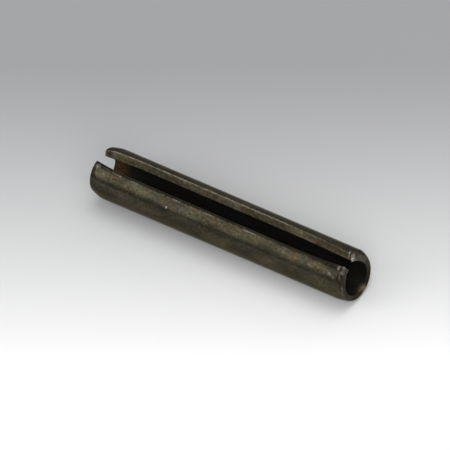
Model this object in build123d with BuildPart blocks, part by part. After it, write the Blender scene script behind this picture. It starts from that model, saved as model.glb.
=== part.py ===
from build123d import *
from math import radians, tan
import os

# A slotted spring pin, rolled from one strip of spring steel. Lengths are in millimetres.
# It lies on its back along X, with its slot upwards and the middle of its underside at the origin.

# The rolled strip
length = 50.0
outer_diameter = 8.5  # left to itself, before the pin is squeezed into its hole
wall = 1.5

# The slot, which is as wide as an angle seen from the pin's axis, in degrees
slot_opening = 51.0
mouth_opening = 34.0  # at each end, where the lips are drawn together
mouth_length = 8.0  # from each end, the stretch over which the lips close
mouth_facets = 3  # straight stretches that make up a closing lip

# The drawn-in nose at each end
nose_length = 2.0
nose_drop = 0.45  # from the side of the pin to the rim of the nose

# Rounded edges
outer_lip_round = 0.5
inner_lip_round = 0.2
rim_round = 0.2

# Sizes that follow
outer_radius = outer_diameter / 2
bore_radius = outer_radius - wall
rim_radius = outer_radius - nose_drop
half_length = length / 2
nose_start = half_length - nose_length
mouth_start = half_length - mouth_length
nose_arc = (nose_length**2 + nose_drop**2) / (2 * nose_drop)  # leaves the side without a corner
pin_axis = Axis((0, 0, outer_radius), (1, 0, 0))
wall_middle = (rim_radius + bore_radius) / 2  # at the rim, half way through the wall
square_across = 0.01  # an edge that moves less than this along the pin runs square across it


def opening_at(place):
    """The slot's opening in degrees, at a place along the pin. It closes slowly, then faster."""
    into_mouth = max(0.0, abs(place) - mouth_start) / mouth_length
    return slot_opening - (slot_opening - mouth_opening) * into_mouth**2


def slot_places():
    """Places along the pin where the slot's section is set, from one end to the other."""
    steps = [mouth_start + mouth_length * step / mouth_facets for step in range(mouth_facets + 1)]
    return [-place for place in reversed(steps)] + steps


def distance_from_axis(point):
    return Vector(0, point.Y, point.Z - outer_radius).length


def runs_along_pin(edge):
    return abs((edge @ 1).X - (edge @ 0).X) > square_across


def is_outer(edge):
    return min(distance_from_axis(edge @ 0), distance_from_axis(edge @ 1)) > wall_middle


with BuildPart() as spring_pin:
    # The tube with both noses: half of the wall's section, mirrored and turned about the axis
    with BuildSketch(Plane(origin=pin_axis.position, x_dir=(1, 0, 0), z_dir=(0, -1, 0))):
        with BuildLine():
            side = Line((0, outer_radius), (nose_start, outer_radius))
            nose = RadiusArc(side @ 1, (half_length, rim_radius), nose_arc)
            rim = Line(nose @ 1, (half_length, bore_radius))
            Line(rim @ 1, (0, bore_radius))
            mirror(about=Plane.YZ)
        make_face()
    revolve(axis=pin_axis)

    # The slot: a wedge with its point on the axis, which narrows towards both ends
    for place in slot_places():
        section_plane = Plane(origin=(place, 0, outer_radius), x_dir=(0, 1, 0), z_dir=(1, 0, 0))
        with BuildSketch(section_plane):
            with BuildLine():
                half_width = outer_diameter * tan(radians(opening_at(place) / 2))
                Polyline((0, 0), (half_width, outer_diameter), (-half_width, outer_diameter), close=True)
            make_face()
    loft(ruled=True, mode=Mode.SUBTRACT)

    # The strip's edges along the slot
    lip_edges = spring_pin.edges(Select.LAST).filter_by(runs_along_pin)
    fillet(lip_edges.filter_by(is_outer), outer_lip_round)
    lip_edges = spring_pin.edges().filter_by(lambda edge: not is_outer(edge) and runs_along_pin(edge))
    fillet(lip_edges, inner_lip_round)

    # The edges of the two end faces
    ends = spring_pin.faces().sort_by(Axis.X)
    fillet(ends[0].edges() + ends[-1].edges(), rim_round)

spring_pin.part.label = "spring_pin"

os.makedirs("parts", exist_ok=True)
export_step(spring_pin.part, "parts/spring_pin.step")
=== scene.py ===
from math import cos, pi, radians, sin

import bpy
from mathutils import Matrix, Vector


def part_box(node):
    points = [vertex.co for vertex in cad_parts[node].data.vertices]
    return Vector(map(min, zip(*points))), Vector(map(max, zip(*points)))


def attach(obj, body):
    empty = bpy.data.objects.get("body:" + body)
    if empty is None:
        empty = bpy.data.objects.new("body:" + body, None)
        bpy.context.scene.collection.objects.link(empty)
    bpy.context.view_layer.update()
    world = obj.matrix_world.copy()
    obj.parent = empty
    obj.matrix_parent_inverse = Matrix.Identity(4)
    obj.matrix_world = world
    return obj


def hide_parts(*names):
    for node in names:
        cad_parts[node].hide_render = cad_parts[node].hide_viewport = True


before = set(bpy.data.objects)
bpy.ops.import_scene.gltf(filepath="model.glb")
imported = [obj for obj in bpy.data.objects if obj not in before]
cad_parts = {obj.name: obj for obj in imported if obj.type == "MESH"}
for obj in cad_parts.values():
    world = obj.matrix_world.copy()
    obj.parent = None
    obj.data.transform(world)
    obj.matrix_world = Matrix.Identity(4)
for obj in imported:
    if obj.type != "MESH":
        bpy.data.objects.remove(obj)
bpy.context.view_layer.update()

# A slotted spring pin lying on its back, slot upwards: dark hardened strip steel with an oiled oxide
# skin, rolled up along X. The near end is the one at +X, and the upper lip is the slot's edge at +Y.
# Lengths are in metres and angles in radians.
MM = 0.001

# The pin's own sizes
pin_low, pin_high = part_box("spring_pin")
PIN_LENGTH = pin_high.x - pin_low.x
NEAR_END = PIN_LENGTH / 2
FAR_END = -PIN_LENGTH / 2
OUTER_RADIUS = (pin_high.y - pin_low.y) / 2
AXIS_HEIGHT = pin_low.z + OUTER_RADIUS

PIN_SIZES = {
    "Length": PIN_LENGTH,
    "Outer radius": OUTER_RADIUS,
    "Axis height": AXIS_HEIGHT,
    "Wall": 1.5 * MM,
    "Slot half angle": radians(25.8),
    "Near upper lip closing": radians(7.5),  # how far each lip has moved in at the mouth
    "Near lower lip closing": radians(7.6),
    "Far upper lip closing": radians(7.5),
    "Far lower lip closing": radians(7.2),
    "Near mouth length": 12.0 * MM,
    "Far mouth length": 8.0 * MM,
    "Near nose length": 1.9 * MM,
    "Far nose length": 2.2 * MM,
    "Nose drop": 0.45 * MM,
    "Upper lip drop": 0.35 * MM,  # the nose drops this much more by the near upper lip
    "Upper lip drop reach": 2.2 * MM,
    "Near nose curve": 1.8,  # 1 is a straight cone
    "Far nose curve": 1.5,
    "Near nose stretch": 0.35,  # share by which the nose is longer at the back and shorter at the slot
    "Lip nose cut": 0.6,  # share by which it is shorter still by every lip but the far upper one
    "Lip nose cut reach": 3.0 * MM,
    "Near nose lean": 0.2,  # share of the drop that moves from one side of the nose to the other
    "Near nose lean turn": radians(-40.0),  # where the nose drops least, from the back of the pin
    "Far nose lean": 0.15,
    "Far nose lean turn": radians(123.5),
    "Bore shift": 0.24 * MM,  # of the near mouth, away from the middle of the pin
    "Bore shift turn": radians(-40.0),
    "Near end slant": radians(3.5),
    "Far end slant": radians(2.8),
    "Near end slant turn": radians(-30.0),  # where the end is cut least, from the back of the pin
    "Far end slant turn": radians(-15.0),
    "Upper lip end bevel": 0.2 * MM,  # of the outer corner of each lip's tip, at the near end
    "Lower lip end bevel": 0.45 * MM,
    "Upper lip trim": 0.8 * MM,  # of the whole tip, at the near end
    "Lower lip trim": 0.2 * MM,
    "Lip end cut width": 1.9 * MM,  # how far bevel and trim reach from the lip, and along the pin
    "Lip end cut length": 2.0 * MM,
    "Lip dip": 0.04 * MM,  # the strip's edges lie a little inside the circle
    "Near mouth dip": 0.22 * MM,  # and more so where they are drawn together
    "Far upper mouth dip": 0.12 * MM,
    "Far lower mouth dip": 0.21 * MM,
    "Lip dip power": 12.0,  # the higher, the closer to the edge it starts
    "Outer lip round": 0.38 * MM,
    "Far lip round": 0.15 * MM,
    "Inner lip round": 0.08 * MM,
    "Lip swell": 0.05 * MM,  # the strip's edges are a little thicker, towards the bore
    "Near lip swell": 0.12 * MM,  # and more so in the mouths
    "Far lip swell": 0.11 * MM,
    "Lip swell power": 16.0,
    "Near rim round": 0.2 * MM,
    "Far rim round": 0.12 * MM,
    "Twist": radians(2.2),  # over the whole length
    "Waviness": 0.03 * MM,
    "Waves along": 8.0,  # over half the length
    "Waves around": 1.2,  # to a radian
    "Seed": 4.0,
}

# The block that is bent into the pin reaches from -1 to 1 each way, with so many rows of points
ROWS_ALONG = 340
ROWS_ACROSS = 112
ROWS_THROUGH = 16
ON_FACE = 0.9995  # a point further out than this is on one of the block's faces

# Worn edges: how wide a band of the skin wears, and how far in from it the end face does
LIP_WEAR_WIDTH = 0.14 * MM
LIP_WEAR_REACH = 0.2 * MM
RIM_WEAR_WIDTH = 0.2 * MM
RIM_WEAR_REACH = 0.14 * MM
UPPER_LIP_WEAR_PLACE = -0.12 * MM  # below the lip's outer corner, on its face
LOWER_LIP_WEAR_PLACE = 0.48 * MM  # beside the lip's outer corner, on the outside
BORE_RIM_WEAR = 0.15  # the rim's wear by the bore, as a share of that on the outside

# Spots on the skin: pale scuffs that are partly painted highlights, and dark spots of painted shade
# in creases and grooves. Each has its place: millimetres along the pin, degrees round it from its back
# and millimetres below the outside. Then its length, width and depth in millimetres, and its strength.
# Pale spots, partly scuffs and partly painted highlights on the lips, their tips and the rims
SCUFFS_AND_HIGHLIGHTS = (
    (-9.6, -125.6, 0.0, 0.22, 0.22, 0.3, 1.0),
    (5.0, -151.5, 0.0, 0.25, 0.12, 0.3, 0.6),
    (13.6, 154.2, 0.6, 0.2, 0.3, 0.25, 0.9),
    (13.1, -137.5, 0.0, 0.25, 0.3, 0.3, 0.34),
    (18.5, -132.5, 0.0, 0.9, 0.35, 0.3, 0.36),
    (21.5, -133.0, 0.0, 0.5, 0.4, 0.3, 0.34),
    (22.5, -133.0, 0.0, 0.6, 0.4, 0.3, 0.5),
    (23.3, -128.0, 0.0, 0.4, 0.35, 0.3, 0.42),
    (21.9, -140.0, 0.0, 0.4, 0.2, 0.3, 0.4),
    (-22.4, -141.0, 0.0, 0.6, 0.5, 0.3, 0.3),
    (-24.0, -150.5, 0.1, 0.7, 0.45, 0.5, 0.6),
    (24.0, -153.0, 0.0, 0.3, 0.35, 0.4, 1.6),
    (24.9, -144.5, 0.0, 0.25, 0.3, 0.4, 1.2),
    (23.75, 160.5, 0.1, 0.2, 0.5, 0.45, 1.3),
    (23.45, 159.8, 0.95, 0.18, 0.5, 0.5, 0.9),
    (24.05, 160.3, 0.55, 0.2, 0.5, 0.25, 0.8),
)
# Painted shade: dark spots in the creases and grooves by the lips' tips at both ends
CREASE_SHADE_SPOTS = (
    (24.83, -128.0, 0.0, 0.27, 0.85, 1.5, 1.0),
    (24.82, -111.0, 0.0, 0.25, 0.8, 1.5, 0.6),
    (24.95, 143.0, 0.0, 0.15, 0.35, 0.25, 0.8),
    (24.95, 134.0, 0.0, 0.15, 0.4, 0.25, 0.6),
    (-24.1, 158.0, 0.8, 0.5, 0.6, 0.6, 1.0),
    (-24.6, 158.0, 0.2, 0.3, 0.5, 0.6, 0.8),
)


class Field:
    """A value that varies over a surface. Arithmetic on it adds Math nodes to its node tree."""

    def __init__(self, tree, socket):
        self.tree = tree
        self.socket = socket

    def math(self, operation, *others):
        node = self.tree.nodes.new("ShaderNodeMath")
        node.operation = operation
        for slot, value in zip(node.inputs, (self, *others)):
            plug(self.tree, value, slot)
        return Field(self.tree, node.outputs[0])

    def __add__(self, other):
        return self.math("ADD", other)

    def __sub__(self, other):
        return self.math("SUBTRACT", other)

    def __mul__(self, other):
        return self.math("MULTIPLY", other)

    def __truediv__(self, other):
        return self.math("DIVIDE", other)

    def __pow__(self, other):
        return self.math("POWER", other)

    def __neg__(self):
        return self.math("MULTIPLY", -1.0)

    def __abs__(self):
        return self.math("ABSOLUTE")

    def from_(self, start):
        """start less this field."""
        return self.math("MULTIPLY", -1.0).math("ADD", start)

    def least(self, other):
        return self.math("MINIMUM", other)

    def most(self, other):
        return self.math("MAXIMUM", other)

    def above(self, other):
        return self.math("GREATER_THAN", other)

    def root(self):
        return self.math("SQRT")

    def sine(self):
        return self.math("SINE")

    def cosine(self):
        return self.math("COSINE")

    def bell(self, width):
        """1 where the field is 0, falling smoothly to nothing over about twice the width."""
        return ((self / width) ** 2.0 * -1.0).math("EXPONENT")

    def step(self, low, high):
        """0 below low, 1 above high, and a smooth step between."""
        node = self.tree.nodes.new("ShaderNodeMapRange")
        node.interpolation_type = "SMOOTHSTEP"
        plug(self.tree, self, node.inputs["Value"])
        plug(self.tree, low, node.inputs["From Min"])
        plug(self.tree, high, node.inputs["From Max"])
        return Field(self.tree, node.outputs["Result"])


def plug(tree, value, slot):
    if isinstance(value, Field):
        tree.links.new(value.socket, slot)
    elif isinstance(value, bpy.types.NodeSocket):
        tree.links.new(value, slot)
    else:
        slot.default_value = value


def pick(switch, when_one, when_zero):
    """when_one where the switch is 1, when_zero where it is 0."""
    return switch * when_one + switch.from_(1.0) * when_zero


def crowded(places, spread, power):
    """Places from -1 to 1 that lie closer together towards both ends."""
    return places * (abs(places) ** power * -spread + (1.0 + spread))


def vector_of(tree, *parts):
    node = tree.nodes.new("ShaderNodeCombineXYZ")
    for slot, value in zip(node.inputs, parts):
        plug(tree, value, slot)
    return node.outputs[0]


def noise_field(tree, vector, detail=2.0, roughness=0.5, distortion=0.0):
    node = tree.nodes.new("ShaderNodeTexNoise")
    plug(tree, vector, node.inputs["Vector"])
    node.inputs["Scale"].default_value = 1.0
    node.inputs["Detail"].default_value = detail
    node.inputs["Roughness"].default_value = roughness
    node.inputs["Distortion"].default_value = distortion
    return Field(tree, node.outputs[0])


def store(tree, geometry, name, value, kind="FLOAT"):
    node = tree.nodes.new("GeometryNodeStoreNamedAttribute")
    node.data_type = kind
    node.domain = "POINT"
    node.inputs["Name"].default_value = name
    tree.links.new(geometry, node.inputs["Geometry"])
    plug(tree, value, node.inputs["Value"])
    return node.outputs["Geometry"]


def spots(table, along, arc, outwards):
    """The spots of a table as one field. Its inputs are a point's place along the pin and round it,
    and its distance outwards from the skin."""
    whole = None
    for mm_along, degrees_round, mm_below, length, width, depth, strength in table:
        lengthways = (along - mm_along * MM).bell(length * MM)
        sideways = (arc - radians(degrees_round) * OUTER_RADIUS).bell(width * MM)
        inwards = (outwards + mm_below * MM).bell(depth * MM)
        spot = lengthways * sideways * inwards * strength
        whole = spot if whole is None else whole.most(spot)
    return whole


def rolled_strip_tree(outside, inside):
    """Bends a fine-meshed block into the pin. The block's X runs along the pin, Y across the strip
    and Z through its wall, each from -1 to 1."""
    tree = bpy.data.node_groups.new("rolled_strip", "GeometryNodeTree")
    face = tree.interface
    face.new_socket(name="Geometry", in_out="OUTPUT", socket_type="NodeSocketGeometry")
    for name, value in PIN_SIZES.items():
        socket = face.new_socket(name=name, in_out="INPUT", socket_type="NodeSocketFloat")
        socket.default_value = value
    group_in = tree.nodes.new("NodeGroupInput")
    size = {name: Field(tree, group_in.outputs[name]) for name in PIN_SIZES}

    block = tree.nodes.new("GeometryNodeMeshCube")
    block.inputs["Size"].default_value = (2, 2, 2)
    block.inputs["Vertices X"].default_value = ROWS_ALONG
    block.inputs["Vertices Y"].default_value = ROWS_ACROSS
    block.inputs["Vertices Z"].default_value = ROWS_THROUGH
    place = tree.nodes.new("ShaderNodeSeparateXYZ")
    tree.links.new(tree.nodes.new("GeometryNodeInputPosition").outputs[0], place.inputs[0])
    along, across, through = (Field(tree, output) for output in place.outputs)
    across = -across
    bore_face = through.above(-ON_FACE).from_(1.0)

    # Rows crowd towards the ends and the lips, where the edges are rounded
    along = crowded(along, spread=0.073, power=11.0)
    across = crowded(across, spread=0.09, power=7.0)
    end_face = abs(along).above(ON_FACE)
    lip_side = abs(across).above(ON_FACE)
    near = along.above(0.0)
    upper = across.above(0.0)
    half_length = size["Length"] * 0.5
    from_end = (abs(along).from_(1.0) * half_length).most(0.0)

    # The strip's half width, as an arc from the back of the pin to the lip
    mouth_length = pick(near, size["Near mouth length"], size["Far mouth length"])
    into_mouth = (from_end / mouth_length).from_(1.0).most(0.0) ** 2.0
    upper_closing = pick(near, size["Near upper lip closing"], size["Far upper lip closing"])
    lower_closing = pick(near, size["Near lower lip closing"], size["Far lower lip closing"])
    closing = (upper_closing + lower_closing) * 0.5 * into_mouth
    mouth_turn = (upper_closing - lower_closing) * 0.5 * into_mouth
    half_width = (size["Slot half angle"] - closing).from_(pi) * size["Outer radius"]
    half_wall = size["Wall"] * 0.5

    # The strip's section with rounded corners. Points inside an end face follow its outline.
    ring = abs(across).most(abs(through))
    flat_y = across * half_width / ring
    flat_z = through * half_wall / ring
    outer_side = flat_z.above(0.0)
    far_mouth = near.from_(1.0) * into_mouth
    outer_corner = pick(far_mouth, size["Far lip round"], size["Outer lip round"])
    corner = pick(outer_side, outer_corner, size["Inner lip round"])
    core_y = flat_y.least(half_width - corner).most(corner - half_width)
    core_z = flat_z.least(half_wall - corner).most(corner - half_wall)
    out_y = flat_y - core_y
    out_z = flat_z - core_z
    out = (out_y * out_y + out_z * out_z).root()
    out_y = out_y / out
    out_z = out_z / out

    # The rim's rounding draws the whole outline in over the last stretch
    rim = pick(near, size["Near rim round"], size["Far rim round"])
    over_rim = (rim - from_end).most(0.0)
    drawn_in = (rim * rim - over_rim * over_rim).root().from_(0.0) + rim
    strip_y = (core_y + out_y * (corner - drawn_in)) * ring
    strip_z = (core_z + out_z * (corner - drawn_in)) * ring
    angle = strip_y / size["Outer radius"]
    from_lip = (abs(strip_y) - half_width).least(0.0)
    towards_lip = strip_y / half_width

    # The outside, with the nose. Each nose is uneven in its own way.
    nose_length = pick(near, size["Near nose length"], size["Far nose length"])
    nose_length = nose_length * (angle.cosine() * near * size["Near nose stretch"] + 1.0)
    cut_lips = near.most(upper.from_(1.0))
    lip_cut = from_lip.bell(size["Lip nose cut reach"]) * size["Lip nose cut"] * cut_lips
    nose_length = nose_length * lip_cut.from_(1.0)
    into_nose = (from_end / nose_length).from_(1.0).most(0.0)
    lean_turn = pick(near, size["Near nose lean turn"], size["Far nose lean turn"])
    lean = pick(near, size["Near nose lean"], size["Far nose lean"]) * (angle - lean_turn).cosine()
    lip_drop = size["Upper lip drop"] * near * upper * from_lip.bell(size["Upper lip drop reach"])
    curve = pick(near, size["Near nose curve"], size["Far nose curve"])
    nose_drop = (size["Nose drop"] * lean.from_(1.0) + lip_drop) * into_nose ** curve
    far_dip = pick(upper, size["Far upper mouth dip"], size["Far lower mouth dip"])
    mouth_dip = pick(near, size["Near mouth dip"], far_dip) * into_mouth
    lip_dip = (size["Lip dip"] + mouth_dip) * towards_lip ** size["Lip dip power"]
    outer = size["Outer radius"] - lip_dip - nose_drop

    # The bore, and the wall between the two. The lips swell fully over about half of each mouth.
    bore_shift = size["Bore shift"] * near * (angle - size["Bore shift turn"]).cosine() * into_nose
    mouth_swell = pick(near, size["Near lip swell"], size["Far lip swell"])
    swell = size["Lip swell"] + mouth_swell * (into_mouth * 5.0).least(1.0)
    lip_swell = swell * towards_lip ** size["Lip swell power"]
    bore = size["Outer radius"] - size["Wall"] + bore_shift - lip_swell
    share = strip_z / size["Wall"] + 0.5
    radius = bore + (outer - bore) * share

    # Slight unevenness from rolling
    seeded = share * 0.5 + size["Seed"]
    waves_at = vector_of(tree, along * size["Waves along"], angle * size["Waves around"], seeded)
    radius = radius - size["Waviness"] * noise_field(tree, waves_at, detail=3.0)

    # Rolled up, twisted a little, and its ends cut aslant
    turned = angle + size["Twist"] * along * 0.5 + mouth_turn
    height = radius * turned.cosine() * -1.0
    slant = pick(near, size["Near end slant"], size["Far end slant"]).math("TANGENT")
    slant_turn = pick(near, size["Near end slant turn"], size["Far end slant turn"])
    cut_back = slant * (size["Outer radius"] - radius * (turned - slant_turn).cosine()) * into_mouth
    by_lip = from_lip.bell(size["Lip end cut width"])
    by_end = (from_end / size["Lip end cut length"]).from_(1.0).most(0.0) ** 2.0
    bevel = pick(upper, size["Upper lip end bevel"], size["Lower lip end bevel"]) * share * by_lip
    trim = pick(upper, size["Upper lip trim"], size["Lower lip trim"]) * by_lip
    cut_back = cut_back + (bevel + trim) * near * by_end
    length_x = along * half_length - cut_back * (near * 2.0 - 1.0)
    rolled = vector_of(tree, length_x, radius * turned.sine(), height + size["Axis height"])

    # Where the skin wears: along the outer corners of the lips and round both rims
    inward = ring.from_(1.0) * half_wall
    over_corner = half_width - abs(flat_y) - (flat_z.from_(0.0) + half_wall)
    over_corner = over_corner - pick(upper, UPPER_LIP_WEAR_PLACE, LOWER_LIP_WEAR_PLACE)
    lip_wear = over_corner.bell(LIP_WEAR_WIDTH) * inward.bell(LIP_WEAR_REACH)
    outer_rim = (share - 0.5).most(0.0) * 2.0
    rim_wear = from_end.bell(RIM_WEAR_WIDTH) * inward.bell(RIM_WEAR_REACH)
    rim_wear = rim_wear * (outer_rim * (1.0 - BORE_RIM_WEAR) + BORE_RIM_WEAR)

    # What the materials read: worn places, pale spots that are partly painted highlights, spots of
    # painted shade, kinds of face, and the place on the strip
    spot_place = (along * half_length, angle * size["Outer radius"], strip_z - half_wall)
    marks = {
        "lip_wear": lip_wear,
        "rim_wear": rim_wear,
        "lip_face": lip_side * abs(out_y).step(0.75, 0.99),  # without its rounded corners
        "end_face": end_face,
        "scuff_and_highlight": spots(SCUFFS_AND_HIGHLIGHTS, *spot_place),
        "crease_shade": spots(CREASE_SHADE_SPOTS, *spot_place),
        "bore_side": bore_face * end_face.from_(1.0),
    }
    geometry = block.outputs["Mesh"]
    for name, value in marks.items():
        geometry = store(tree, geometry, name, value)
    strip_place = vector_of(tree, along * half_length, strip_y, strip_z)
    geometry = store(tree, geometry, "strip_place", strip_place, "FLOAT_VECTOR")

    # Bent, smoothed, and given its two materials
    bend = tree.nodes.new("GeometryNodeSetPosition")
    tree.links.new(geometry, bend.inputs["Geometry"])
    tree.links.new(rolled, bend.inputs["Position"])
    smooth = tree.nodes.new("GeometryNodeSetShadeSmooth")
    tree.links.new(bend.outputs[0], smooth.inputs["Geometry"])
    whole = tree.nodes.new("GeometryNodeRealizeInstances")
    tree.links.new(smooth.outputs[0], whole.inputs[0])
    skin = tree.nodes.new("GeometryNodeSetMaterial")
    skin.inputs["Material"].default_value = outside
    tree.links.new(whole.outputs[0], skin.inputs["Geometry"])
    in_bore = tree.nodes.new("GeometryNodeInputNamedAttribute")
    in_bore.data_type = "FLOAT"
    in_bore.inputs["Name"].default_value = "bore_side"
    lining = tree.nodes.new("GeometryNodeSetMaterial")
    lining.inputs["Material"].default_value = inside
    tree.links.new(skin.outputs[0], lining.inputs["Geometry"])
    plug(tree, Field(tree, in_bore.outputs[0]).above(0.5), lining.inputs["Selection"])
    group_out = tree.nodes.new("NodeGroupOutput")
    tree.links.new(lining.outputs[0], group_out.inputs[0])
    return tree


def pin_mesh(outside, inside):
    """The pin as a plain mesh, from the node tree that bends the strip."""
    holder = bpy.data.objects.new("pin_holder", bpy.data.meshes.new("pin_holder"))
    bpy.context.scene.collection.objects.link(holder)
    modifier = holder.modifiers.new("rolled_strip", "NODES")
    modifier.node_group = rolled_strip_tree(outside, inside)
    for item in modifier.node_group.interface.items_tree:
        if item.item_type == "SOCKET" and item.in_out == "INPUT":
            modifier[item.identifier] = PIN_SIZES[item.name]
    finished = holder.evaluated_get(bpy.context.evaluated_depsgraph_get())
    mesh = bpy.data.meshes.new_from_object(finished)
    bpy.data.objects.remove(holder)
    return mesh


SOCKET_KINDS = {"value": "NodeSocketFloat", "vector": "NodeSocketVector", "colour": "NodeSocketColor"}


class ShaderGroup:
    """A shader node group with named inputs and outputs, to be placed in any material."""

    def __init__(self, name, inputs, outputs):
        self.tree = bpy.data.node_groups.new(name, "ShaderNodeTree")
        for in_out, sockets in (("INPUT", inputs), ("OUTPUT", outputs)):
            for socket_name, kind in sockets.items():
                self.tree.interface.new_socket(
                    name=socket_name, in_out=in_out, socket_type=SOCKET_KINDS[kind]
                )
        self.group_in = self.tree.nodes.new("NodeGroupInput")
        self.group_out = self.tree.nodes.new("NodeGroupOutput")

    def taken(self, name):
        return Field(self.tree, self.group_in.outputs[name])

    def give(self, name, value):
        plug(self.tree, value, self.group_out.inputs[name])

    def place(self, tree, **values):
        """Puts the group in a material. Keywords are the names of its inputs."""
        node = tree.nodes.new("ShaderNodeGroup")
        node.node_tree = self.tree
        for name, value in values.items():
            plug(tree, value, node.inputs[name])
        return {output.name: Field(tree, output) for output in node.outputs}


def read_attribute(tree, name, output="Fac"):
    node = tree.nodes.new("ShaderNodeAttribute")
    node.attribute_name = name
    return Field(tree, node.outputs[output])


def mix_colours(tree, share, first, second):
    node = tree.nodes.new("ShaderNodeMix")
    node.data_type = "RGBA"
    plug(tree, share, node.inputs["Factor"])
    for slot, value in zip(("A", "B"), (first, second)):
        sockets = [socket for socket in node.inputs if socket.name == slot and socket.type == "RGBA"]
        plug(tree, (*value, 1) if isinstance(value, tuple) else value, sockets[0])
    result = [socket for socket in node.outputs if socket.type == "RGBA"]
    return Field(tree, result[0])


def shade_colour(tree, colour, factor):
    """A colour multiplied by a value."""
    node = tree.nodes.new("ShaderNodeVectorMath")
    node.operation = "SCALE"
    plug(tree, colour, node.inputs[0])
    plug(tree, factor, node.inputs["Scale"])
    return Field(tree, node.outputs[0])


def skin_noise(tree, place, per_mm, shift=(0, 0, 0), **settings):
    """Noise on the skin, with so many cells to a millimetre along the pin and across it."""
    along, across = (cells / MM for cells in per_mm)
    stretched = tree.nodes.new("ShaderNodeVectorMath")
    stretched.operation = "MULTIPLY_ADD"
    for slot, value in zip(stretched.inputs, (place, (along, across, across), shift)):
        plug(tree, value, slot)
    return noise_field(tree, stretched.outputs[0], **settings)


def make_mottle_group():
    """Patches and grain of an oxide skin that grew on rolled strip. The place is in metres."""
    group = ShaderGroup(
        "oxide_mottle",
        {"Place": "vector", "Patch": "value", "Grain": "value"},
        {"Hue": "value", "Warmth": "value", "Shade": "value", "Marks": "value"},
    )
    tree = group.tree
    place = group.taken("Place")
    hue = skin_noise(tree, place, (0.26, 0.5), detail=5.0, roughness=0.7, distortion=0.3)
    warmth = skin_noise(
        tree, place, (0.34, 0.6), (31, 7, 3), detail=5.0, roughness=0.68, distortion=0.3
    )
    cloud = skin_noise(tree, place, (0.21, 0.65), (11, 3, 9)) - 0.5
    fleck = skin_noise(tree, place, (2.5, 3.0), (5, 21, 2), roughness=0.6) - 0.5
    grain = skin_noise(tree, place, (4.0, 6.0), detail=3.0, roughness=0.6) - 0.5
    streaks = skin_noise(tree, place, (0.3, 4.5), (3, 1, 17), roughness=0.6) - 0.5
    patches = cloud * 0.85 + fleck * 1.1
    marks = grain * 0.5 + streaks * 0.5
    shade = patches * group.taken("Patch") + marks * group.taken("Grain") + 0.99
    group.give("Hue", hue.step(0.27, 0.73))
    group.give("Warmth", warmth.step(0.43, 0.78))
    group.give("Shade", shade.most(0.3) ** 2.0)
    group.give("Marks", grain * 0.35 + streaks * 0.4 + fleck * 0.5)
    return group


def make_wear_group():
    """Breaks up the wear on an edge, so that bare metal shows in patches and thin lines."""
    group = ShaderGroup(
        "worn_edge",
        {"Place": "vector", "Edge": "value", "Amount": "value"},
        {"Bare": "value"},
    )
    tree = group.tree
    place = group.taken("Place")
    long_patches = skin_noise(tree, place, (0.45, 0.9), (2, 14, 6), roughness=0.6) - 0.5
    fine_patches = skin_noise(tree, place, (2.2, 3.0), (8, 4, 25), roughness=0.6) - 0.5
    broken = long_patches * 2.2 + fine_patches * 1.6 + group.taken("Amount")
    group.give("Bare", (group.taken("Edge") * broken.most(0.0)).step(0.12, 0.75))
    return group


DARK_RUST = (0.042, 0.028, 0.014)
BRIGHT_RUST = (0.085, 0.043, 0.016)


def make_rust_group():
    """A thin bloom of rust: where it lies and its colour."""
    group = ShaderGroup(
        "rust_bloom",
        {"Place": "vector", "Where": "value"},
        {"Rust": "value", "Colour": "colour"},
    )
    tree = group.tree
    patches = skin_noise(tree, group.taken("Place"), (1.1, 1.3), detail=3.0, roughness=0.6)
    rust = group.taken("Where") * ((patches - 0.5) * 1.6 + 1.0)
    group.give("Rust", rust.step(0.1, 0.9))
    group.give("Colour", mix_colours(tree, patches.step(0.4, 0.6), DARK_RUST, BRIGHT_RUST))
    return group


def make_material(name, metallic, specular_tint):
    material = bpy.data.materials.new(name)
    material.use_nodes = True
    shader = material.node_tree.nodes["Principled BSDF"]
    shader.inputs["Metallic"].default_value = metallic
    shader.inputs["Specular Tint"].default_value = (*specular_tint, 1)
    return material, material.node_tree, shader


def add_bump(tree, shader, height, depth):
    bump = tree.nodes.new("ShaderNodeBump")
    bump.inputs["Strength"].default_value = 1.0
    bump.inputs["Distance"].default_value = depth
    plug(tree, height, bump.inputs["Height"])
    tree.links.new(bump.outputs[0], shader.inputs["Normal"])


class StripPlace:
    """Where a point of the skin lies on the flat strip: along the pin, round it and up its wall."""

    def __init__(self, tree):
        self.whole = read_attribute(tree, "strip_place", "Vector")
        split = tree.nodes.new("ShaderNodeSeparateXYZ")
        plug(tree, self.whole, split.inputs[0])
        self.along, arc, self.up_wall = (Field(tree, output) for output in split.outputs)
        self.around = arc / OUTER_RADIUS

    def past(self, start, end):
        """0 up to one place along the pin and 1 from another on, in millimetres from its middle."""
        return self.along.step(start * MM, end * MM)


def bell_around(angle, middle, width):
    """1 at one place round the pin, in degrees from its back, and falling off to both sides."""
    return (angle - radians(middle)).bell(radians(width))


# The skin outside
OXIDE_METALLIC = 0.85
OXIDE_ROUGHNESS = 0.19
OXIDE_TINT = (0.55, 0.53, 0.47)
SLATE_OXIDE = (0.0355, 0.0342, 0.0275)
OLIVE_OXIDE = (0.0455, 0.0420, 0.0210)
BROWN_OXIDE = (0.074, 0.0450, 0.0215)
# Colours of painted shade on the lower-lip side
SHADED_SLATE = (0.026, 0.0258, 0.019)
SHADED_OLIVE = (0.035, 0.031, 0.0185)
# Colour of painted light on the top strip
TOP_LIT_GREY = (0.046, 0.041, 0.034)
# Pale scuffs, partly painted highlights
SCUFFED_AND_HIGHLIT = (0.25, 0.24, 0.20)
# Painted shade for creases and grooves
CREASE_SHADE_DARK = (0.010, 0.009, 0.007)
BARE_STEEL = (0.18, 0.165, 0.14)

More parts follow.
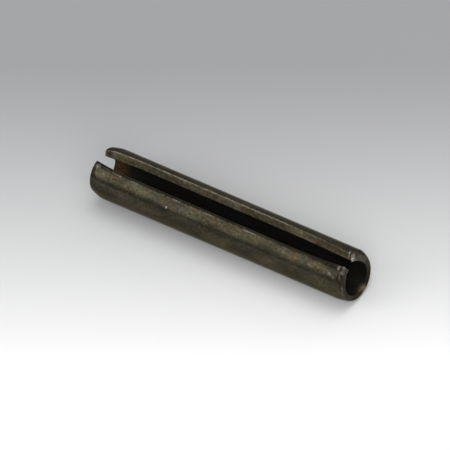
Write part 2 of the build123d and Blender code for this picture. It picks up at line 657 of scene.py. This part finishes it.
# Stripes of painted shade and painted light along the pin: the middle and the width of each, in
# degrees round it from its back
SLATE_SHADE_STRIPE = (-115, 8)
SIDE_SHADE_STRIPE = (-82, 14)
SIDE_LIGHT_STRIPE = (-85, 26)
FAR_PAINTED_LIGHT = (-140, 12)
FAR_PAINTED_SHADE = (-125, 5)

# The sheared faces of the lips
LIP_METALLIC = 0.3
SHEARED_EDGE = (0.088, 0.083, 0.058)
SHEARED_BROWN = (0.094, 0.068, 0.031)

# The near end face: grey, paler by the upper lip with painted reflection and darker towards the
# bottom, with parts of another colour, each by its middle and width in degrees: dark brown rust, a
# bright painted reflection by the upper lip and a tan painted highlight by the bore
END_GREY = (0.060, 0.0565, 0.046)
END_PAINTED_REFLECTION = (130, 25)
END_DIM_PART = (-85, 40)
END_PARTS = (
    ((0.017, 0.0075, 0.002), 22, 66),
    # Painted reflection: a bright pale part by the upper lip
    ((0.40, 0.40, 0.35), 163, 13),
    # Painted highlight: a tan part by the bore
    ((0.17, 0.13, 0.07), 11, 10),
)


def oxide_colour(tree, strip, skin):
    """The mottled oxide, with stripes of painted shade and painted light along it."""
    around = strip.around
    main_part = strip.past(-19.0, -9.0)
    far_part = main_part.from_(1.0)
    lit_top_strip = around.step(radians(105), radians(125))
    colour = mix_colours(tree, skin["Hue"], SLATE_OXIDE, OLIVE_OXIDE)
    colour = mix_colours(tree, skin["Warmth"] * 0.8, colour, BROWN_OXIDE)
    # Painted shade: a dark slate stripe along the lower-lip side, in the main part
    slate_shade = bell_around(around, *SLATE_SHADE_STRIPE) * (skin["Hue"] * -0.7 + 0.9) * main_part
    colour = mix_colours(tree, slate_shade, colour, SHADED_SLATE)
    # Painted shade: a darker olive stripe lower on the same side, in the main part
    side_shade = bell_around(around, *SIDE_SHADE_STRIPE) * main_part * 0.65
    colour = mix_colours(tree, side_shade, colour, SHADED_OLIVE)
    # Painted light: the top strip by the upper lip is greyer
    colour = mix_colours(tree, lit_top_strip * 0.5, colour, TOP_LIT_GREY)
    # Painted light along the lower-lip side, more so in the far part, and on the top strip
    tone = bell_around(around, *SIDE_LIGHT_STRIPE) * (main_part * -0.18 + 0.36) + 1.0 + lit_top_strip * 0.22
    # Painted light and painted shade on the lower-lip side of the far part
    far_tone = bell_around(around, *FAR_PAINTED_LIGHT) * 0.15
    far_tone = far_tone - bell_around(around, *FAR_PAINTED_SHADE) * 0.5
    return shade_colour(tree, colour, tone + far_tone * far_part)


def sheared_colour(tree, strip, skin, near_part):
    """The faces of the lips. In the near part painted light makes them pale by the bore, and painted
    shade darker outside.
    """
    colour = mix_colours(tree, skin["Hue"], SHEARED_EDGE, SHEARED_BROWN)
    by_bore = strip.up_wall.step(-0.6 * MM, 0.1 * MM).from_(1.0)
    # Painted light by the bore and painted shade outside, in the near part
    return shade_colour(tree, colour, near_part * (by_bore * 0.8 - 0.2) + 1.0)


def end_face_colour(tree, around):
    """The near end face is grey by the lips and brown behind. Painted reflections make it pale by the
    upper lip, and it is darker towards the bottom.
    """
    # Painted reflection paler by the upper lip, and darker towards the bottom
    tone = bell_around(around, *END_PAINTED_REFLECTION) * 0.3 - bell_around(around, *END_DIM_PART) * 0.5 + 1.0
    colour = shade_colour(tree, END_GREY, tone)
    for part_colour, middle, width in END_PARTS:
        colour = mix_colours(tree, bell_around(around, middle, width), colour, part_colour)
    return colour


def oxide_skin(mottle, wear):
    """The outside, the lips and the end faces."""
    material, tree, shader = make_material("oxide_skin", OXIDE_METALLIC, OXIDE_TINT)
    strip = StripPlace(tree)
    skin = mottle.place(tree, Place=strip.whole, Patch=1.0, Grain=0.55)
    upper = strip.around.above(0.0)
    near_part = strip.past(13.0, 18.0)
    lip_corner = read_attribute(tree, "lip_wear")
    lip_face = read_attribute(tree, "lip_face")
    near_face = read_attribute(tree, "end_face") * strip.along.above(0.0)

    colour = oxide_colour(tree, strip, skin)
    colour = mix_colours(tree, lip_face, colour, sheared_colour(tree, strip, skin, near_part))
    # Painted shade on the upper lip's corner in the near part
    colour = shade_colour(tree, colour, lip_corner * near_part * upper * -0.5 + 1.0)
    colour = mix_colours(tree, near_face, colour, end_face_colour(tree, strip.around))
    shade = skin["Shade"] + (skin["Shade"] - 1.0) * lip_face * 0.4
    colour = shade_colour(tree, colour, shade.most(0.5))

    # Bare metal on the corners of the lips, less towards the near end, and on the rims by the slot
    upper_amount = strip.past(7.5, 12.0) * -0.35 + strip.past(19.5, 22.0) * -0.35 + 0.5
    lower_amount = strip.past(10.0, 13.5) * -0.51 + 0.4
    amounts = {
        "lip_wear": pick(upper, upper_amount, lower_amount),
        "rim_wear": bell_around(abs(strip.around), 163, 22) * 0.6 + 0.25,
        "scuff_and_highlight": 0.9,
    }
    lips, rims, scuffs_and_highlights = (
        wear.place(tree, Place=strip.whole, Edge=read_attribute(tree, edge), Amount=amount)["Bare"]
        for edge, amount in amounts.items()
    )
    bare = (lips * pick(upper, 1.0, 0.75)).most(rims)
    # Pale spots, partly scuffs and partly painted highlights
    colour = mix_colours(tree, scuffs_and_highlights, colour, SCUFFED_AND_HIGHLIT)
    colour = mix_colours(tree, bare, colour, BARE_STEEL)
    # Painted shade in creases and grooves
    colour = mix_colours(tree, read_attribute(tree, "crease_shade"), colour, CREASE_SHADE_DARK)
    plug(tree, colour, shader.inputs["Base Color"])
    metallic = lip_face * (LIP_METALLIC - OXIDE_METALLIC) + OXIDE_METALLIC
    plug(tree, metallic, shader.inputs["Metallic"])
    roughness = (skin["Shade"] - 1.0) * -0.1 + OXIDE_ROUGHNESS - bare * 0.02 + lip_face * 0.25
    plug(tree, roughness, shader.inputs["Roughness"])
    add_bump(tree, shader, skin["Marks"], 0.015 * MM)
    return material


# The lining of the bore
BORE_METALLIC = 0.2
BORE_TINT = (0.2, 0.2, 0.2)
# Dark oxide, made darker with painted shade
BORE_OXIDE_AND_SHADE = (0.016, 0.0158, 0.0145)
BORE_BROWN_AND_SHADE = (0.0215, 0.016, 0.0105)
# Painted highlight: tan, just inside the near rim
TAN_EDGE_HIGHLIGHT = (0.22, 0.18, 0.12)


def bore_skin(mottle, rust):
    """The inside of the tube: dark oxide darkened with painted shade, more so towards the near end,
    with rust towards the far end and a tan painted highlight by the near rim.
    """
    material, tree, shader = make_material("bore_skin", BORE_METALLIC, BORE_TINT)
    strip = StripPlace(tree)
    skin = mottle.place(tree, Place=strip.whole, Patch=0.7, Grain=0.3)
    far_end = strip.along.step(FAR_END + 0.5 * MM, FAR_END + 4.8 * MM).from_(1.0)
    bloom = rust.place(tree, Place=strip.whole, Where=far_end)
    # Painted highlight: a tan patch on the bore just inside the near rim
    low_edge_highlight = (strip.along - NEAR_END).bell(0.5 * MM) * bell_around(strip.around, 3, 13)
    colour = mix_colours(tree, skin["Warmth"], BORE_OXIDE_AND_SHADE, BORE_BROWN_AND_SHADE)
    colour = mix_colours(tree, bloom["Rust"], colour, bloom["Colour"])
    colour = mix_colours(tree, low_edge_highlight, colour, TAN_EDGE_HIGHLIGHT)
    # Painted shade: the bore is darker towards the near end
    shade = skin["Shade"] * (strip.past(14.0, 22.0) * -0.4 + 1.0)
    plug(tree, shade_colour(tree, colour, shade), shader.inputs["Base Color"])
    shader.inputs["Roughness"].default_value = 0.65
    shader.inputs["Specular IOR Level"].default_value = 0.15
    add_bump(tree, shader, skin["Marks"], 0.02 * MM)
    return material


# How the camera sees the pin
TILT_TO_CAMERA = radians(30.3)  # of the pin's axis, out of the picture's plane
SLOT_TURN = radians(31.9)  # of the slot, about the axis, away from the camera
PICTURE_SLOPE = radians(23.075)  # of the pin's axis in the picture, down to the right
PICTURE_WIDTH = 450  # pixels
PICTURE_SCALE = 6.42 / MM  # pixels in a metre
PIN_CENTRE_IN_PICTURE = (230.49, 223.66)
CAMERA_DISTANCE = 1.0


def view_axes():
    """The picture's right and up, and the way back to the camera, in the pin's frame."""
    along_pin = Vector((1, 0, 0))
    facing = Vector((0, -sin(SLOT_TURN), cos(SLOT_TURN)))  # square to the pin, towards the camera
    up_picture = Vector((0, cos(SLOT_TURN), sin(SLOT_TURN)))  # square to the pin, in the picture
    back = along_pin * sin(TILT_TO_CAMERA) + facing * cos(TILT_TO_CAMERA)
    pin_in_picture = along_pin * cos(TILT_TO_CAMERA) - facing * sin(TILT_TO_CAMERA)
    right = pin_in_picture * cos(PICTURE_SLOPE) + up_picture * sin(PICTURE_SLOPE)
    up = up_picture * cos(PICTURE_SLOPE) - pin_in_picture * sin(PICTURE_SLOPE)
    return right, up, back


def make_camera():
    right, up, back = view_axes()
    middle = PICTURE_WIDTH / 2
    off_right = (middle - PIN_CENTRE_IN_PICTURE[0]) / PICTURE_SCALE
    off_up = (PIN_CENTRE_IN_PICTURE[1] - middle) / PICTURE_SCALE
    data = bpy.data.cameras.new("camera")
    data.type = "ORTHO"  # the pin's two ends look equally wide
    data.ortho_scale = PICTURE_WIDTH / PICTURE_SCALE
    data.clip_start = CAMERA_DISTANCE * 0.1
    data.clip_end = CAMERA_DISTANCE * 3
    camera = bpy.data.objects.new("camera", data)
    bpy.context.scene.collection.objects.link(camera)
    aim = Vector((0, 0, AXIS_HEIGHT)) + right * off_right + up * off_up
    turn = Matrix((right, up, back)).transposed().to_4x4()
    camera.matrix_world = Matrix.Translation(aim + back * CAMERA_DISTANCE) @ turn
    bpy.context.scene.camera = camera


FLOOR_REACH = 0.6
FLOOR_FAR = (0.36, 0.362, 0.375)
FLOOR_NEAR = (0.94, 0.945, 0.94)
FLOOR_FAR_ROW = 62  # the picture's rows between which the floor's colour changes
FLOOR_NEAR_ROW = 361
FLOOR_CURVE = 1.3


def make_floor():
    """A plain pale floor, a little darker towards the back of the picture."""
    mesh = bpy.data.meshes.new("floor")
    turns = ((-1, -1), (1, -1), (1, 1), (-1, 1))
    corners = [(x * FLOOR_REACH, y * FLOOR_REACH, 0) for x, y in turns]
    mesh.from_pydata(corners, [], [(0, 1, 2, 3)])
    floor = bpy.data.objects.new("floor", mesh)
    bpy.context.scene.collection.objects.link(floor)
    material = bpy.data.materials.new("floor")
    material.use_nodes = True
    tree = material.node_tree
    shader = tree.nodes["Principled BSDF"]
    place = tree.nodes.new("ShaderNodeTexCoord").outputs["Object"]
    up = view_axes()[1]
    towards_back = tree.nodes.new("ShaderNodeVectorMath")
    towards_back.operation = "DOT_PRODUCT"
    plug(tree, place, towards_back.inputs[0])
    plug(tree, up, towards_back.inputs[1])
    above_pin = Field(tree, towards_back.outputs["Value"]) - up.z * AXIS_HEIGHT
    row = above_pin * -PICTURE_SCALE + PIN_CENTRE_IN_PICTURE[1]
    share = ((row - FLOOR_FAR_ROW) / (FLOOR_NEAR_ROW - FLOOR_FAR_ROW)).most(0.0).least(1.0)
    colour = mix_colours(tree, share ** FLOOR_CURVE, FLOOR_FAR, FLOOR_NEAR)
    plug(tree, colour, shader.inputs["Base Color"])
    shader.inputs["Roughness"].default_value = 0.9
    shader.inputs["Specular IOR Level"].default_value = 0.1
    mesh.materials.append(material)


WORLD_LIGHT = 0.48
LAMP_WATTS = 4  # for each square metre of a softbox whose radiance is 1


def soft_light(name, direction, distance, width, height, radiance):
    """A rectangular softbox that faces the pin. A radiance of 1 looks as bright as a white world."""
    data = bpy.data.lights.new(name, "AREA")
    data.shape = "RECTANGLE"
    data.size = width
    data.size_y = height
    data.energy = radiance * LAMP_WATTS * width * height
    lamp = bpy.data.objects.new(name, data)
    bpy.context.scene.collection.objects.link(lamp)
    away = Vector(direction).normalized()
    turn = away.to_track_quat("Z", "Y").to_matrix().to_4x4()
    lamp.matrix_world = Matrix.Translation(away * distance) @ turn


def make_lights():
    world = bpy.data.worlds.new("studio")
    bpy.context.scene.world = world
    world.use_nodes = True
    background = world.node_tree.nodes["Background"]
    background.inputs["Color"].default_value = (1, 1, 1, 1)
    background.inputs["Strength"].default_value = WORLD_LIGHT
    key_way = (-0.643, -0.582, 0.497)
    front_way = (0.66, -0.52, 0.54)
    top_way = (0.2, 0.2, 0.95)
    soft_light("key_light", key_way, distance=0.6, width=0.367, height=0.46, radiance=1.19)
    soft_light("front_light", front_way, distance=0.7, width=0.5, height=0.5, radiance=2.2)
    soft_light("top_light", top_way, distance=0.7, width=0.5, height=0.5, radiance=1.7)


mottle = make_mottle_group()
outside = oxide_skin(mottle, make_wear_group())
inside = bore_skin(mottle, make_rust_group())
pin = bpy.data.objects.new("rolled_pin", pin_mesh(outside, inside))
bpy.context.scene.collection.objects.link(pin)
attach(pin, "root")
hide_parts("spring_pin")

make_camera()
make_floor()
make_lights()
bpy.context.scene.view_settings.view_transform = "Standard"
